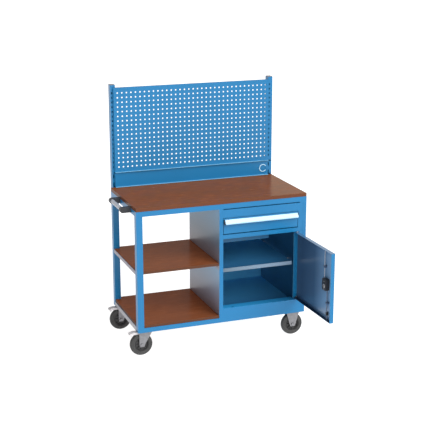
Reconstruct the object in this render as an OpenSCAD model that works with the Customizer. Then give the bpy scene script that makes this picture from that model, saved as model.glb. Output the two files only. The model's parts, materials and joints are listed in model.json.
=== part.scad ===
// Mobile workbench: board worktop on a welded steel frame, open shelf bay on the left,
// cabinet with one drawer and a hinged door on the right, perforated rear panel on two
// slotted uprights, push handle, two braked swivel casters and two fixed casters.
// Inside bench() x runs from the left end, y from the front edge and z from the floor.
// The origin of the whole part is the centre of the worktop's top face.

/* [Bench] */
// Length of the worktop
bench_l = 1130; // [1080:5:1400]
// Depth of the worktop
bench_d = 570; // [540:5:700]
// Height of the worktop's top face above the floor
worktop_h = 960; // [920:5:1100]
// Thickness of the worktop board
board_t = 22; // [18:1:40]
// Corner radius of the boards in plan
board_r = 3; // [1:0.5:8]
// Thickness of the two bay shelf boards
shelf_t = 18; // [12:1:25]
// Height of the middle shelf's top face above the floor
mid_shelf_h = 558; // [420:1:700]
// Distance from a shelf board's edge to the frame's outer face
shelf_inset = 2; // [1:0.5:6]

/* [Frame] */
// Height of the frame's underside above the floor
frame_z = 160; // [150:1:200]
// Width of a square leg tube
leg_s = 40; // [30:1:50]
// Wall of the leg and rail tubes
tube_wall = 2; // [1.5:0.5:4]
// Height of the top frame's channel
top_rail_h = 32; // [20:1:50]
// Width of the top frame's channel
top_rail_w = 40; // [30:1:60]
// Height of the base rails under the bay
base_rail_h = 30; // [20:1:50]
// Width of the base rails
base_rail_w = 20; // [14:1:30]
// Thickness of the plate welded in over each caster
foot_t = 4; // [3:0.5:8]
// How far the caster plates sit above the frame's underside
caster_recess = 15; // [12:0.5:18]
// Height of the angle that carries the middle shelf
angle_h = 22; // [16:1:40]
// Width of the angle that carries the middle shelf
angle_w = 25; // [15:1:40]
// Thickness of folded sheet steel
sheet = 2; // [1:0.5:3]

/* [Cabinet] */
// Width of the cabinet over its sides
cab_w = 593; // [500:1:640]
// Thickness of the cabinet's left double wall
side_l_t = 26; // [20:1:40]
// Thickness of the cabinet's right double wall
side_r_t = 47; // [40:1:60]
// Dark seam between the top frame and the cabinet's front
seam = 6; // [2:0.5:8]
// Height of the fixed band above the drawer
fascia_h = 53; // [30:1:90]
// Height of the rail between the drawer and the door
cross_rail_h = 27; // [20:1:50]
// Height of the plinth below the door
plinth_h = 91; // [60:1:140]
// Depth of the bright lip in front of the cabinet's floor
lip_d = 60; // [30:1:70]
// Step down from that lip to the floor
floor_step = 15; // [8:1:25]
// Distance from the cabinet's rear edge to its back panel
back_inset = 7; // [4:1:20]
// Width of the post that the door shuts in front of
post_w = 25; // [20:1:50]
// Distance from the front face to that post
post_y = 27; // [25:1:45]
// Gap between the inner shelf and the wall at its right
shelf_gap = 11; // [1:1:15]
// Height of the inner shelf's top face above the floor
inner_shelf_h = 508; // [350:1:620]
// Height of the inner shelf's folded edge
inner_shelf_lip = 24; // [14:1:35]
// Radius of a shelf peg
peg_r = 3.5; // [2.5:0.5:5]

/* [Drawer] */
// Height of the drawer's front
drawer_h = 100; // [80:1:140]
// Gap above the drawer's front
drawer_gap = 3; // [1:0.5:4]
// Gap below the drawer's front
drawer_low_gap = 6; // [2:0.5:8]
// How far the post at the drawer's right stands in front of the side's inner wall
drawer_post = 10; // [6:1:20]
// Gap at each side of the drawer's front and the door
side_gap = 3; // [2:0.5:5]
// Thickness of the drawer's folded front
drawer_front_t = 16; // [12:1:25]
// Length of the drawer tray from front to back
tray_l = 490; // [400:5:505]
// Height of the drawer tray's walls
tray_h = 78; // [50:1:90]
// Sheet of the tray
tray_sheet = 1.5; // [1:0.5:2]
// Width taken by the runners at each side
runner_w = 13; // [12:0.5:16]
// Height of a runner
runner_h = 45; // [35:1:55]
// Sheet of a runner
runner_sheet = 1.5; // [1:0.1:1.8]
// Clearance around the drawer tray inside the divider and the band
tray_air = 6; // [4:1:10]
// Height of the grip strip
grip_h = 27; // [20:1:60]
// Distance from the top of the drawer's front to the grip strip
grip_drop = 8; // [1:1:20]
// How far the grip strip stands out
grip_out = 24; // [18:1:40]
// Wall of the grip strip
grip_wall = 2; // [1.5:0.5:3]
// Thickness of the grip strip's end caps
grip_cap_t = 3; // [2:0.5:6]

/* [Door] */
// Depth of the door's folded edge
door_t = 25; // [16:1:26]
// Sheet of the door
door_sheet = 1.5; // [1:0.5:2.5]
// Gap above the door
door_gap = 5; // [2:0.5:6]
// Gap below the door
door_low_gap = 11.5; // [2:0.5:12]
// Angle that the door stands open, as photographed
door_open = 91; // [0:1:105]
// Distance of the hinge pin's centre from the door's edge and face
hinge_in = 6.5; // [6.5:0.5:8]
// Radius of the hinge pin
pin_r = 3; // [2:0.5:3]
// Length of the hinge pin inside the door
pin_l = 9; // [6:1:20]
// Distance of the lock's centre from the door's free edge
lock_in = 86; // [60:1:150]
// Height of the lock's centre above the floor
lock_z = 488; // [380:1:600]
// Radius at which the lock's cam drives the rods
cam_r = 14; // [10:1:16]
// Sideways distance of each rod from the lock's centre
rod_off = 20; // [18:1:26]
// Radius of a lock rod
rod_r = 3; // [3:0.5:5]

/* [Rear panel] */
// Height of the perforated panel
panel_h = 550; // [310:30:700]
// Height from the worktop to the perforated panel
blank_h = 100; // [80:1:200]
// Pitch of the round holes
hole_pitch = 30; // [25:1:40]
// Radius of the round holes
hole_r = 5; // [3:0.5:7]
// Depth of the panels' folded edge
panel_d = 12; // [8:1:25]
// Smallest distance from a panel's end to the middle of a hole
panel_margin = 12; // [12:0.5:20]
// Gap around the blank panel
panel_gap = 2.5; // [1:0.5:4]
// Width of an upright
upright_w = 32; // [31:1:50]
// Distance from the bench's left end to the left upright
upright_in_left = 12; // [8:0.5:14]
// Distance from the bench's right end to the right upright
upright_in_right = 0; // [0:0.5:8]
// Distance from an upright's left side to its column of slots
slot_in = 9.5; // [9:0.5:12]
// How far the panels' left ends lap over the left upright
panel_lap_left = 15; // [13:0.5:17]
// How far the panels' right ends lap over the right upright
panel_lap_right = 2; // [2:0.5:5]
// Depth of an upright
upright_d = 45; // [30:1:60]
// Height of the uprights' lower ends above the floor
upright_z = 255; // [200:1:400]
// How far the uprights stand above the panel
upright_over = 15; // [5:1:40]
// Width of the small slots in the uprights
slot_w = 7; // [5:0.5:10]
// Height of the small slots in the uprights
slot_h = 13; // [8:0.5:16]
// Radius of the cap over the cable hole
cable_cap_r = 28; // [20:1:35]
// Distance of that cap from the panel's right end
cable_cap_in = 39; // [30:1:120]

/* [Push handle] */
// Distance of the front bracket's centre from the bench's front
handle_y0 = 120; // [60:5:200]
// Distance between the bracket centres
handle_l = 240; // [160:5:320]
// Distance from the bench's side to the grip tube's centre
handle_reach = 52; // [40:1:80]
// Radius of the grip tube
handle_r = 12.5; // [10:0.5:16]
// Wall of the grip tube
handle_wall = 1.5; // [1:0.5:3]
// Width of a bracket along the bench's side
bracket_w = 30; // [20:1:40]

/* [Casters] */
// Wheel diameter
wheel_d = 145; // [120:1:147]
// Width of the tread
tread_w = 36; // [28:1:40]
// Radial height of the rubber
tyre_h = 27; // [12:1:30]
// Radius of the axle bolts
axle_r = 6; // [4:0.5:8]
// Distance of the swivel axis from the wheel's axle
trail = 40; // [30:1:45]
// Distance of a caster's centre from the bench's left or right end
caster_in_x = 70; // [60:1:90]
// Distance of a caster's centre from the bench's front or rear
caster_in_y = 46; // [46:1:80]
// Length of a caster's top plate
plate_l = 105; // [95:1:110]
// Width of a caster's top plate
plate_w = 85; // [75:1:90]
// Thickness of a caster's top plate
plate_t = 3; // [2.5:0.5:6]
// Length of the brake pedal from its pin
pedal_l = 71; // [60:1:76]
// Thickness of the fork's sheet
fork_t = 3; // [2:0.5:4]
// Clearance between the hub and the fork at each side
fork_play = 1; // [0.5:0.5:4]

/* [Hidden] */

paint = [0.20, 0.50, 0.74];
deep_paint = [0.12, 0.26, 0.42];
board_brown = [0.42, 0.25, 0.17];
pale_grey = [0.80, 0.81, 0.83];
zinc = [0.66, 0.67, 0.69];
black = [0.10, 0.10, 0.11];
rubber = [0.20, 0.20, 0.21];
alu = [0.86, 0.87, 0.89];

round_fn = 64;
over = 1;             // how far a cutting solid runs past the face it cuts
seat = 0.3;           // air left where one piece rests near another
run_fit = 0.06;       // radial clearance of a shaft that turns in its bore
bolt_r = 4;           // M8 shank
bolt_fit = 0.3;       // radial clearance of a bolt in its hole

// Heights of the cabinet's front, from the floor
rail_top = worktop_h - board_t;
rail_low = rail_top - top_rail_h;
cab_top = rail_low - seam;
fascia_z = cab_top - fascia_h;
drawer_z1 = fascia_z - drawer_gap;
drawer_z0 = drawer_z1 - drawer_h;
cross_z1 = drawer_z0 - drawer_low_gap;
cross_z0 = cross_z1 - cross_rail_h;
plinth_z = frame_z + plinth_h;
floor_z = plinth_z - floor_step;
door_z0 = plinth_z + door_low_gap;
door_z1 = cross_z0 - door_gap;

// Places along the bench
cab_x = bench_l - cab_w;
open_x0 = cab_x + side_l_t;
open_x1 = bench_l - side_r_t;
front_x0 = open_x0 + side_gap;
front_x1 = open_x1 - side_gap;
front_w = front_x1 - front_x0;
draw_x1 = open_x1 - drawer_post;
drawer_end = draw_x1 - side_gap;
open_w = open_x1 - open_x0;
back_y = bench_d - back_inset;
post_x = open_x1 - post_w;
trim_t = 1.5;         // strip on the inner shelf's front edge

// Door and lock
hinge_x = front_x1 - hinge_in;
hinge_y = hinge_in;
lock_x = front_x0 + lock_in;
rod_y = door_sheet + 10.5;
rod_travel = 2 * cam_r * sin(45);
rod_fit = 0.08;
bush_r = pin_r + 2.5;
cam_t = 3;
cam_y = door_sheet + 2.5;
cam_pin_r = 2.5;
cam_slot_half = cam_pin_r + 0.6;
tab_t = 3;
case_w = 56;
case_h = 76;
case_d = 25;
case_corner = 12;
case_wall = 2;
guide_w = 20;
guide_h = 12;
keeper_r = 8;
keeper_body_r = 6.5;
keeper_bore = rod_r + 1;
keeper_lip = 1.2;
peg_in = 50;          // from the lip and the back to the shelf pegs
pin_collar_r = 5.5;
guide_gap = 110;      // from a rod's outer end to its guide
knob_r = 16;
knob_out = 9;
grip_len = 58;
grip_thick = 14;
grip_y = 30;
spindle_r = 5;

// Runners at the drawer's two sides: one channel inside the next
runner_z = drawer_z0 + 12;
runner_y0 = drawer_front_t + 4;
runner_y1 = runner_y0 + tray_l - 10;

// Rear panel
hole_rows = floor((panel_h - 2 * hole_r) / hole_pitch) - 1;
panel_z = worktop_h + blank_h;
panel_top = panel_z + panel_h;
panel_x0 = upright_in_left + upright_w - panel_lap_left;
panel_x1 = bench_l - upright_in_right - upright_w + panel_lap_right;
panel_w = panel_x1 - panel_x0;
side_room = min(bench_l / 2 - panel_x0, panel_x1 - bench_l / 2) - panel_margin;
hole_cols = 2 * floor(side_room / hole_pitch) + 1;
first_col = bench_l / 2 - (hole_cols - 1) / 2 * hole_pitch;
first_row = panel_z + (panel_h - (hole_rows - 1) * hole_pitch) / 2;
panel_y = bench_d - panel_d;
panel_sheet = 1.5;
upright_top = panel_top + upright_over;
upright_cap_t = 3;
long_slot_h = 26;
long_slot_drop = 28;  // from the perforated panel's lower edge to a long slot's middle
long_slot_step = 53;
hook_slot_w = 18;
hook_slot_h = 7;
bolt_heights = [upright_z + 45, mid_shelf_h + 45, rail_low - 30];

// Casters
plate_z = frame_z + caster_recess;
skirt = 10;           // width of the folds at the frame's underside
axle_z = wheel_d / 2;
drop = plate_z - axle_z;          // from the plate's top face down to the axle
hub_w = tread_w + 4;
fork_in = hub_w / 2 + fork_play;
fork_out = fork_in + fork_t;
rim_r = wheel_d / 2 - tyre_h;
race_r = 26;
race_h = 6;
kingpin_r = 6;
swivel_air = 0.4;
crown_h = 6.6;
fork_top = plate_t + race_h + swivel_air;
bridge_z = max(fork_top + crown_h, caster_recess + 1);
brake_pin_r = 3;
brake_pin_x = -trail - 8;
brake_pin_z = -bridge_z - fork_t - brake_pin_r - 2.8;
bolt_head_r = 7.5;
bolt_x = 40;
bolt_y = fork_out + bolt_head_r + 1;
foot_l = plate_l + 6;
foot_w = plate_w + 6;
left_x = caster_in_x;
right_x = bench_l - caster_in_x;
front_y = caster_in_y;
rear_y = bench_d - caster_in_y;

// Moves the bench from floor coordinates to the part's own origin
module bench() {
    translate([-bench_l / 2, -bench_d / 2, -worktop_h]) children();
}

// Box given by its lowest and highest corners
module box(low, high) {
    translate(low) cube(high - low);
}

// Folded sheet section: a path of right-angled legs, given at the sheet's middle
module folded(path, t) {
    for (i = [0 : len(path) - 2]) {
        a = path[i];
        b = path[i + 1];
        low = [min(a[0], b[0]) - t / 2, min(a[1], b[1]) - t / 2];
        high = [max(a[0], b[0]) + t / 2, max(a[1], b[1]) + t / 2];
        translate(low) square(high - low);
    }
}

// Extrudes a section drawn in y and z along x, from x0 to x1
module along_x(x0, x1) {
    translate([x0, 0, 0]) rotate([90, 0, 90]) linear_extrude(x1 - x0) children();
}

// Extrudes a section drawn in x and z along y, from y0 to y1
module along_y(y0, y1) {
    translate([0, y1, 0]) rotate([90, 0, 0]) linear_extrude(y1 - y0) children();
}

// Extrudes a section drawn in x and y along z, from z0 to z1
module along_z(z0, z1) {
    translate([0, 0, z0]) linear_extrude(z1 - z0) children();
}

// Plan outline with rounded corners, from low to high
module rounded_plan(low, high, r) {
    translate([low[0] + r, low[1]]) square([high[0] - low[0] - 2 * r, high[1] - low[1]]);
    translate([low[0], low[1] + r]) square([high[0] - low[0], high[1] - low[1] - 2 * r]);
    for (x = [low[0] + r, high[0] - r]) {
        for (y = [low[1] + r, high[1] - r]) {
            translate([x, y]) circle(r, $fn = round_fn);
        }
    }
}

// Straight rod or hole along z
module rod_z(x, y, z0, z1, r) {
    translate([x, y, z0]) cylinder(h = z1 - z0, r = r, $fn = round_fn);
}

// Straight rod or hole along y
module rod_y_dir(x, z, y0, y1, r) {
    translate([x, y1, z]) rotate([90, 0, 0]) cylinder(h = y1 - y0, r = r, $fn = round_fn);
}

// Straight rod or hole along x
module rod_x_dir(y, z, x0, x1, r) {
    translate([x0, y, z]) rotate([0, 90, 0]) cylinder(h = x1 - x0, r = r, $fn = round_fn);
}

// The x places of the two uprights' left sides
function upright_xs() = [upright_in_left, bench_l - upright_in_right - upright_w];

// Places of the four bolts in a caster plate, about the plate's centre
function plate_bolts() = [for (x = [-bolt_x, bolt_x]) for (y = [-bolt_y, bolt_y]) [x, y]];

module worktop_board() {
    color(board_brown) bench() along_z(rail_top, worktop_h)
        rounded_plan([0, 0], [bench_l, bench_d], board_r);
}

// Channel frame under the board, open side inwards, with a cross member at the cabinet
module top_frame() {
    w = top_rail_w;
    s = tube_wall;
    member = side_l_t;
    color(paint) bench() difference() {
        box([0, 0, rail_low], [bench_l, bench_d, rail_top]);
        box([w, w, rail_low - over], [cab_x, bench_d - w, rail_top + over]);
        box([cab_x + member, w, rail_low - over], [bench_l - w, bench_d - w, rail_top + over]);
        box([s, s, rail_low + s], [cab_x + member / 2 - s / 2, bench_d - s, rail_top - s]);
        box([cab_x + member / 2 + s / 2, s, rail_low + s], [bench_l - s, bench_d - s, rail_top - s]);
        handle_bolt_places() rod_x_dir(0, 0, -over, s + over, bolt_r + bolt_fit);
    }
}

// Square leg tube: below its foot plate only the two outer walls run down to the underside
module leg(y0, out_y) {
    s = tube_wall;
    in_y = out_y > y0 ? y0 - over : y0 + s;
    difference() {
        box([0, y0, frame_z], [leg_s, y0 + leg_s, rail_low]);
        box([s, y0 + s, plate_z + foot_t], [leg_s - s, y0 + leg_s - s, rail_low + over]);
        box([s, in_y, frame_z - over], [leg_s + over, in_y + leg_s - s + over, plate_z + foot_t]);
        upright_bolt_places() rod_y_dir(0, 0, -leg_s / 2, over, bolt_r + bolt_fit);
    }
}

module left_legs() {
    color(paint) bench() {
        leg(0, 0);
        leg(bench_d - leg_s, bench_d);
    }
}

// Holes for one caster's four bolts through the foot plate
module caster_bolt_holes(x, y) {
    for (p = plate_bolts()) {
        rod_z(x + p[0], y + p[1], plate_z - over, plate_z + foot_t + over, bolt_r + bolt_fit);
    }
}

// Channels between the legs and the cabinet, with the foot plates for the left casters
module base_rails() {
    h = base_rail_h;
    w = base_rail_w;
    t = tube_wall;
    plate_x1 = left_x + foot_l / 2;
    color(paint) bench() difference() {
        union() {
            along_x(leg_s, cab_x) translate([0, frame_z])
                folded([[skirt, t / 2], [t / 2, t / 2], [t / 2, h - t / 2], [w, h - t / 2]], t);
            along_x(leg_s, cab_x) translate([bench_d, frame_z]) mirror([1, 0])
                folded([[skirt, t / 2], [t / 2, t / 2], [t / 2, h - t / 2], [w, h - t / 2]], t);
            along_y(leg_s, bench_d - leg_s) translate([0, frame_z])
                folded([[skirt, t / 2], [t / 2, t / 2], [t / 2, h - t / 2], [w, h - t / 2]], t);
            box([t, t, plate_z], [plate_x1, front_y + foot_w / 2, plate_z + foot_t]);
            box([t, rear_y - foot_w / 2, plate_z], [plate_x1, bench_d - t, plate_z + foot_t]);
        }
        for (y = [front_y, rear_y]) caster_bolt_holes(left_x, y);
    }
}

// Angle at the left between the legs and angle on the cabinet's side
module mid_shelf_rails() {
    t = sheet;
    under = mid_shelf_h - shelf_t;
    color(paint) bench() {
        along_y(leg_s, bench_d - leg_s)
            folded([[t / 2, under - angle_h + shelf_t - 4], [t / 2, mid_shelf_h - 4]], t);
        along_y(leg_s, bench_d - leg_s) folded([[1.5 * t, under - t / 2], [angle_w, under - t / 2]], t);
        along_y(leg_s, bench_d - leg_s)
            folded([[cab_x - t / 2, under - angle_h], [cab_x - t / 2, under - t / 2],
                [cab_x - angle_w, under - t / 2]], t);
    }
}

// Board of the bay, cut out round the two left legs
module bay_board(top) {
    gap = 1;
    color(board_brown) bench() along_z(top - shelf_t, top) difference() {
        rounded_plan([shelf_inset, shelf_inset], [cab_x - gap / 2, bench_d - shelf_inset], board_r);
        square([leg_s + gap, leg_s + gap]);
        translate([0, bench_d - leg_s - gap]) square([leg_s + gap, leg_s + gap]);
    }
}

module mid_shelf_board() bay_board(mid_shelf_h);

module lower_shelf_board() bay_board(frame_z + base_rail_h + shelf_t);

// Plinth below the cabinet: folded front with a lip, side cheeks and a rear wall
module cabinet_base() {
    s = sheet;
    foot_x0 = right_x - foot_l / 2;
    side_low = frame_z + s / 2;
    side_top = plinth_z - s / 2;
    side_step = floor_z - s / 2;
    color(paint) bench() difference() {
        union() {
            along_x(cab_x, bench_l) folded([[skirt, frame_z + s / 2], [s / 2, frame_z + s / 2],
                [s / 2, plinth_z - s / 2], [lip_d - s / 2, plinth_z - s / 2],
                [lip_d - s / 2, floor_z - s / 2]], s);
            along_y(0, bench_d) folded([[open_x0 - s / 2, side_low], [cab_x + s / 2, side_low],
                [cab_x + s / 2, side_top], [open_x0 - s / 2, side_top], [open_x0 - s / 2, side_step]], s);
            along_y(0, bench_d) folded([[bench_l - skirt, side_low], [bench_l - s / 2, side_low],
                [bench_l - s / 2, side_top], [open_x1 + s / 2, side_top],
                [open_x1 + s / 2, side_step]], s);
            box([cab_x, bench_d - s, frame_z], [bench_l, bench_d, plinth_z]);
            box([foot_x0, s, plate_z], [bench_l - s, front_y + foot_w / 2, plate_z + foot_t]);
            box([foot_x0, rear_y - foot_w / 2, plate_z], [bench_l - s, bench_d - s, plate_z + foot_t]);
        }
        box([open_x0, bench_d - s - over, floor_z], [open_x1, bench_d + over, plinth_z + over]);
        for (y = [front_y, rear_y]) caster_bolt_holes(right_x, y);
        rod_z(hinge_x, hinge_y, plinth_z - s - over, plinth_z + over, pin_r);
        rod_z(lock_x - rod_off, rod_y, plinth_z - s - over, plinth_z + over, keeper_body_r);
    }
}

// Floor of the cabinet, a step lower than the plinth's lip
module cabinet_floor() {
    color(deep_paint) bench()
        box([open_x0, lip_d, floor_z - sheet], [open_x1, bench_d - sheet, floor_z]);
}

// Double wall with a hollow middle, standing on the plinth
module double_wall(x0, x1) {
    s = sheet;
    difference() {
        box([x0, 0, plinth_z], [x1, bench_d, rail_low]);
        box([x0 + s, s, plinth_z - over], [x1 - s, bench_d - s, rail_low + over]);
    }
}

module cabinet_side_left() {
    color(paint) bench() difference() {
        double_wall(cab_x, open_x0);
        peg_places() rod_x_dir(0, 0, open_x0 - sheet - over, open_x0 + over, peg_r);
    }
}

// Right side of the cabinet, with the post and the wall that the drawer's right runner needs
module cabinet_side_right() {
    s = sheet;
    groove = 1.5;
    groove_x = bench_l - side_r_t / 2;
    post_end = runner_y1 + 20;
    color(paint) bench() difference() {
        union() {
            double_wall(open_x1, bench_l);
            along_z(cross_z1, fascia_z) folded([[open_x1 + s / 2, s / 2], [draw_x1 + s / 2, s / 2],
                [draw_x1 + s / 2, post_end - s / 2], [open_x1 + s / 2, post_end - s / 2]], s);
        }
        box([groove_x, -over, plinth_z - over], [groove_x + groove, sheet / 2, cab_top]);
        box([open_x1 - over, -over, cab_top], [groove_x + groove, sheet / 2, cab_top + groove]);
        upright_bolt_places() rod_y_dir(0, 0, -2 * sheet, over, bolt_r + bolt_fit);
    }
}

module cabinet_back() {
    s = sheet;
    color(deep_paint) bench() along_z(floor_z, cab_top)
        folded([[open_x0 + s / 2, bench_d - s / 2], [open_x0 + s / 2, back_y + s / 2],
            [open_x1 - s / 2, back_y + s / 2], [open_x1 - s / 2, bench_d - s / 2]], s);
}

// Fixed band above the drawer, and the rail below it that runs back as a divider
module cabinet_front_rails() {
    s = sheet;
    fold = 20;
    color(paint) bench() {
        along_x(open_x0, open_x1) folded([[fold, fascia_z + s / 2], [s / 2, fascia_z + s / 2],
            [s / 2, cab_top - s / 2], [fold, cab_top - s / 2]], s);
        difference() {
            along_x(open_x0, open_x1) folded([[back_y - s / 2, cross_z0 + s / 2], [s / 2, cross_z0 + s / 2],
                [s / 2, cross_z1 - s / 2], [fold, cross_z1 - s / 2]], s);
            rod_z(hinge_x, hinge_y, cross_z0 - over, cross_z0 + s + over, pin_r);
            rod_z(lock_x + rod_off, rod_y, cross_z0 - over, cross_z0 + s + over, keeper_body_r);
        }
    }
}

// Post behind the hinge side of the door, running back as the right inner wall
module cabinet_liner() {
    s = sheet;
    color(deep_paint) bench() difference() {
        union() {
            along_z(plinth_z, cross_z0) folded([[open_x1 - s / 2, post_y + s / 2],
                [post_x + s / 2, post_y + s / 2], [post_x + s / 2, back_y - s / 2]], s);
            box([post_x, lip_d, floor_z], [post_x + s, back_y, plinth_z]);
        }
        peg_places() rod_x_dir(0, 0, post_x - over, post_x + s + over, peg_r);
    }
}

// Turns children, made for the plane x = 0, to the four shelf pegs' y and z
module peg_places() {
    for (y = [lip_d + peg_in, back_y - peg_in]) {
        translate([0, y, inner_shelf_h - sheet - seat - peg_r]) children();
    }
}

module shelf_pegs() {
    reach = 12;
    color(zinc) bench() peg_places() {
        rod_x_dir(0, 0, open_x0 - sheet, open_x0 + reach, peg_r);
        rod_x_dir(0, 0, post_x - shelf_gap - reach, post_x + sheet, peg_r);
    }
}

// Loose steel shelf with its front and rear edges folded down
module inner_shelf() {
    s = sheet;
    air = 1;
    low = inner_shelf_h - inner_shelf_lip + s / 2;
    y0 = post_y + 3 + trim_t;
    y1 = back_y - 2 * air;
    color(deep_paint) bench() along_x(open_x0 + air, post_x - shelf_gap)
        folded([[y0 + s / 2, low], [y0 + s / 2, inner_shelf_h - s / 2],
            [y1 - s / 2, inner_shelf_h - s / 2], [y1 - s / 2, low]], s);
}

// Pale strip along the inner shelf's front edge
module shelf_trim() {
    air = 1;
    color(pale_grey) bench() box([open_x0 + air, post_y + 3, inner_shelf_h - inner_shelf_lip],
        [post_x - shelf_gap, post_y + 3 + trim_t, inner_shelf_h]);
}

// Fixed pins that the door turns on, each with a thin collar
module hinge_pins() {
    tail = 8;
    color(zinc) bench() {
        rod_z(hinge_x, hinge_y, plinth_z - tail, door_z0 + pin_l, pin_r);
        rod_z(hinge_x, hinge_y, plinth_z, door_z0 - seat, pin_collar_r);
        rod_z(hinge_x, hinge_y, door_z1 - pin_l, cross_z0 + tail, pin_r);
        rod_z(hinge_x, hinge_y, door_z1 + seat, cross_z0, pin_collar_r);
    }
}

// Plastic bush that a rod runs into
module keeper(up) {
    rotate([up ? 0 : 180, 0, 0]) difference() {
        union() {
            cylinder(h = keeper_lip, r = keeper_r, $fn = round_fn);
            translate([0, 0, -sheet - 4]) cylinder(h = sheet + 4, r = keeper_body_r, $fn = round_fn);
        }
        translate([0, 0, -sheet - 4 - over])
            cylinder(h = sheet + 4 + keeper_lip + 2 * over, r = keeper_bore, $fn = round_fn);
    }
}

module rod_keepers() {
    color(pale_grey) bench() {
        translate([lock_x - rod_off, rod_y, plinth_z]) keeper(true);
        translate([lock_x + rod_off, rod_y, cross_z0]) keeper(false);
    }
}

// Slots in an upright's front wall, drawn in x and z from the middle of the slot column
module upright_slots() {
    rows = floor((upright_top - panel_z) / hole_pitch) - 1;
    for (i = [0 : rows - 1]) {
        translate([-slot_w / 2, first_row + i * hole_pitch - slot_h / 2]) square([slot_w, slot_h]);
    }
    for (z = [panel_z - long_slot_drop, panel_z - long_slot_drop - long_slot_step]) {
        translate([-slot_w / 2, z - long_slot_h / 2]) square([slot_w, long_slot_h]);
    }
    for (z = [panel_z - 4, worktop_h + 5]) {
        translate([0, z - hook_slot_h / 2]) square([hook_slot_w, hook_slot_h]);
    }
}

// Places of the bolts that hold the uprights, at the bench's rear face
module upright_bolt_places() {
    for (x = upright_xs()) {
        for (z = bolt_heights) translate([x + upright_w / 2 - 1, bench_d, z]) children();
    }
}

// Two tubes on the bench's rear face, with a wide hole behind each bolt for the wrench
module uprights() {
    s = sheet;
    reach_r = bolt_head_r + 1.5;
    color(paint) bench() for (x = upright_xs()) {
        difference() {
            along_z(upright_z, upright_top) translate([x, bench_d]) difference() {
                square([upright_w, upright_d]);
                translate([s, s]) square([upright_w - 2 * s, upright_d - 2 * s]);
            }
            translate([x + slot_in, 0, 0]) along_y(bench_d - over, bench_d + s + over) upright_slots();
            upright_bolt_places() {
                rod_y_dir(0, 0, -over, s + over, bolt_r + bolt_fit);
                rod_y_dir(0, 0, upright_d - s - over, upright_d + over, reach_r);
            }
        }
    }
}

module upright_caps() {
    plug = 8;
    inset = sheet + 0.2;
    color(zinc) bench() for (x = upright_xs()) {
        along_z(upright_top, upright_top + upright_cap_t) translate([x, bench_d])
            square([upright_w, upright_d]);
        along_z(upright_top - plug, upright_top) translate([x + inset, bench_d + inset])
            square([upright_w - 2 * inset, upright_d - 2 * inset]);
    }
}

// M8 bolt along +z, with its head's seat at z = 0 and its shank going down
module bolt(shank) {
    head_h = 5.3;
    translate([0, 0, -shank]) cylinder(h = shank, r = bolt_r, $fn = round_fn);
    cylinder(h = head_h, r = bolt_head_r, $fn = 6);
}

// Bolts of the uprights and of the push handle's brackets
module frame_bolts() {
    shank = 16;
    color(zinc) bench() {
        upright_bolt_places() translate([0, sheet, 0]) rotate([-90, 0, 0]) bolt(sheet + 10);
        handle_bolt_places() translate([tube_wall, 0, 0]) rotate([0, 90, 0]) bolt(shank);
    }
}

// Folded panel between two heights, with rounded upright edges
module panel_pan(z0, z1) {
    difference() {
        box([panel_x0, panel_y, z0], [panel_x1, bench_d, z1]);
        box([panel_x0 + panel_sheet, panel_y + panel_sheet, z0 + panel_sheet],
            [panel_x1 - panel_sheet, bench_d + over, z1 - panel_sheet]);
    }
}

// Perforated sheet with its edges folded back
module perforated_panel() {
    s = panel_sheet;
    color(paint) bench() {
        along_y(panel_y, panel_y + s) difference() {
            translate([panel_x0, panel_z]) square([panel_w, panel_h]);
            for (i = [0 : hole_cols - 1]) {
                for (j = [0 : hole_rows - 1]) {
                    translate([first_col + i * hole_pitch, first_row + j * hole_pitch])
                        circle(hole_r, $fn = round_fn);
                }
            }
        }
        along_y(panel_y + s, bench_d) difference() {
            translate([panel_x0, panel_z]) square([panel_w, panel_h]);
            translate([panel_x0 + s, panel_z + s]) square([panel_w - 2 * s, panel_h - 2 * s]);
        }
    }
}

module blank_panel() {
    cap_x = panel_x1 - cable_cap_in;
    cap_z = worktop_h + blank_h / 2;
    color(paint) bench() difference() {
        panel_pan(worktop_h + panel_gap, panel_z - panel_gap);
        rod_y_dir(cap_x, cap_z, panel_y - over, panel_y + panel_sheet + over, cable_cap_r - 4);
    }
}

// Round cap that closes the cable hole, with a raised rim
module cable_hole_cap() {
    rim = 3;
    web = 1.5;
    stub = 4;
    r = cable_cap_r;
    color(paint) bench()
        translate([panel_x1 - cable_cap_in, panel_y, worktop_h + blank_h / 2])
            rotate([90, 0, 0]) rotate_extrude($fn = round_fn)
                polygon([[0, 0], [r - 6, 0], [r - 6, -stub], [r - 4 - 0.2, -stub],
                    [r - 4 - 0.2, 0], [r, 0], [r, rim * 0.6], [r - 1.5, rim], [r - 4.5, rim],
                    [r - 6.5, web], [0, web]]);
}

function handle_z() = rail_low + top_rail_h / 2 + 7;

function bracket_ys() = [handle_y0, handle_y0 + handle_l];

// Places of the bolts that hold the handle's brackets, on the bench's left face
module handle_bolt_places() {
    for (y = bracket_ys()) translate([0, y, rail_low + top_rail_h / 2]) children();
}

module handle_tube() {
    y0 = handle_y0 - bracket_w / 4;
    y1 = handle_y0 + handle_l + bracket_w / 4;
    color(zinc) bench() difference() {
        rod_y_dir(-handle_reach, handle_z(), y0, y1, handle_r);
        rod_y_dir(-handle_reach, handle_z(), y0 - over, y1 + over, handle_r - handle_wall);
    }
}

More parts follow.
